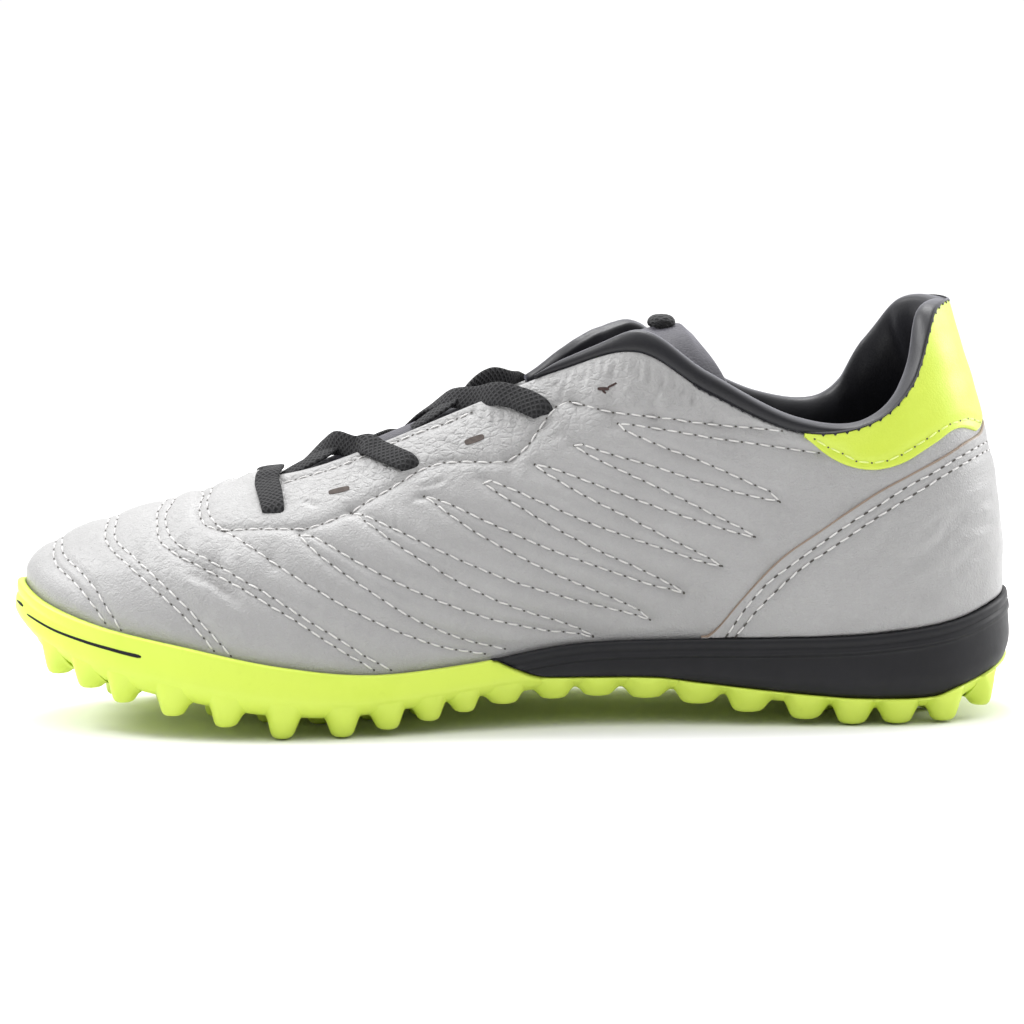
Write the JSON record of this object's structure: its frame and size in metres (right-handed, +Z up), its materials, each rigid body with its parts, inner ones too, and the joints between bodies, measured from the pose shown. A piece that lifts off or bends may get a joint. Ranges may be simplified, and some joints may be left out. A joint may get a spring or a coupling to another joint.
{
  "type": "turf shoe",
  "caption": "Low-cut turf football shoe with quilted leather upper, flat laces, padded collar, foam wedge midsole and a studded rubber cup outsole.",
  "frame": {"origin": "on the ground, under the middle of the sole's bounding box", "axes": "+X towards the heel, with the toe at -X; +Y towards the outer side of the right foot, with its inner side at -Y; +Z up"},
  "size_m": [0.286, 0.102, 0.1187],
  "materials": {
    "lime_rubber": "satin moulded rubber",
    "charcoal_foam": "satin moulded foam",
    "grey_leather": "soft tumbled grain",
    "lime_leather": "smooth coated",
    "charcoal_lining": "smooth padded lining",
    "insole_cloth": "brushed cloth",
    "charcoal_webbing": "flat woven"
  },
  "bodies": {
    "root": {"outsole": "lime_rubber", "midsole": "charcoal_foam", "upper": "grey_leather", "tongue": "charcoal_lining", "insole": "insole_cloth", "collar": "charcoal_lining", "heel_counter": "grey_leather", "heel_tab": "lime_leather", "lace_bar": "charcoal_webbing", "lace_cross_1": "charcoal_webbing", "lace_cross_2": "charcoal_webbing"}
  },
  "joints": []
}
